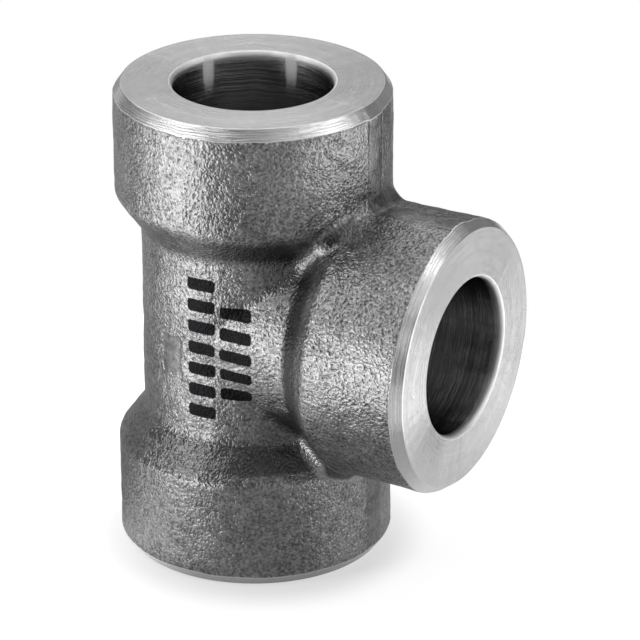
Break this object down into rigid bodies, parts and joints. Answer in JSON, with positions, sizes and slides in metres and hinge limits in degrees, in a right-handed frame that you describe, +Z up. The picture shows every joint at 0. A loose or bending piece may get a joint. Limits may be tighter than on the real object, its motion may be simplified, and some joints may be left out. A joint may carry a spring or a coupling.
{
  "type": "socket weld tee",
  "caption": "Forged steel socket weld pipe tee: a straight run with a side branch, each end a chamfered band round a counterbored pipe socket.",
  "frame": {"origin": "centre of the lower end face of the run, on the run's axis", "axes": "+Z up along the run, +X along the branch away from the run, +Y square to both and to the parting plane of the forging"},
  "size_m": [0.0523, 0.0382, 0.0676],
  "materials": {
    "forged_steel": "grey shot-blasted forged skin, with bright satin turned end faces, chamfers and sockets"
  },
  "bodies": {
    "root": {"tee_body": "forged_steel"}
  },
  "joints": []
}
